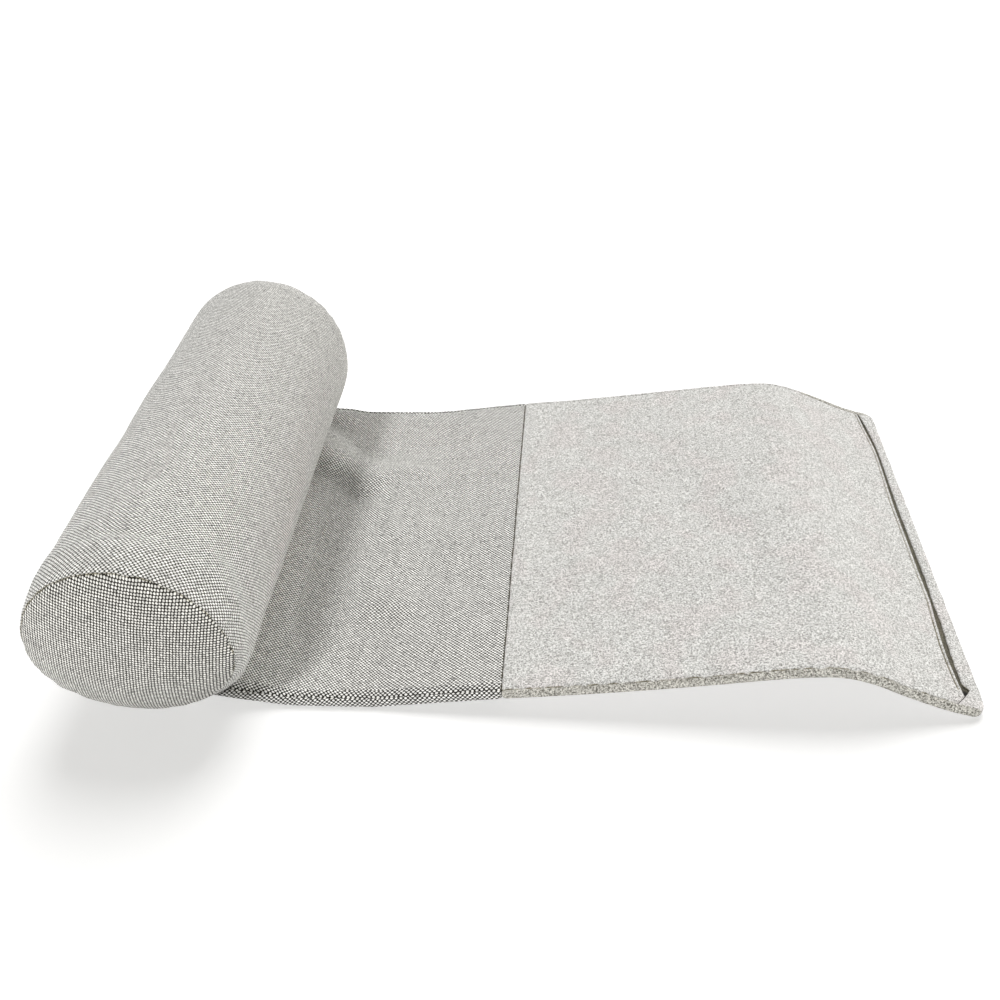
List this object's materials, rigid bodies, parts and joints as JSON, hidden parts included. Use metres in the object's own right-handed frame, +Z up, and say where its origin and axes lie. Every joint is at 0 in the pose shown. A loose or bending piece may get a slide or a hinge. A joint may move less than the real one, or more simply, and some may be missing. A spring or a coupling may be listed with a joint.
{
  "type": "neck pillow with counterweight tail",
  "caption": "Filled woven roll with crowned round ends, sewn to a flat two-layer cloth tail whose felt part is a pocket with a slit mouth, lying in a low hump.",
  "frame": {"origin": "middle of the flat spot on which the roll lies, halfway between its two end seams", "axes": "+X from the roll out along the tail, +Y along the roll, +Z up"},
  "size_m": [0.7702, 0.544, 0.176],
  "materials": {
    "woven": "matte basket weave of off-white and grey-brown yarns",
    "felt": "matte pressed wool felt, mottled light grey with darker fibres"
  },
  "bodies": {
    "root": {"roll": "woven", "end_panel_near": "woven", "end_panel_far": "woven", "tail_woven_back": "woven", "tail_woven_front": "woven", "tail_felt_back": "felt", "tail_felt_front": "felt"}
  },
  "joints": []
}
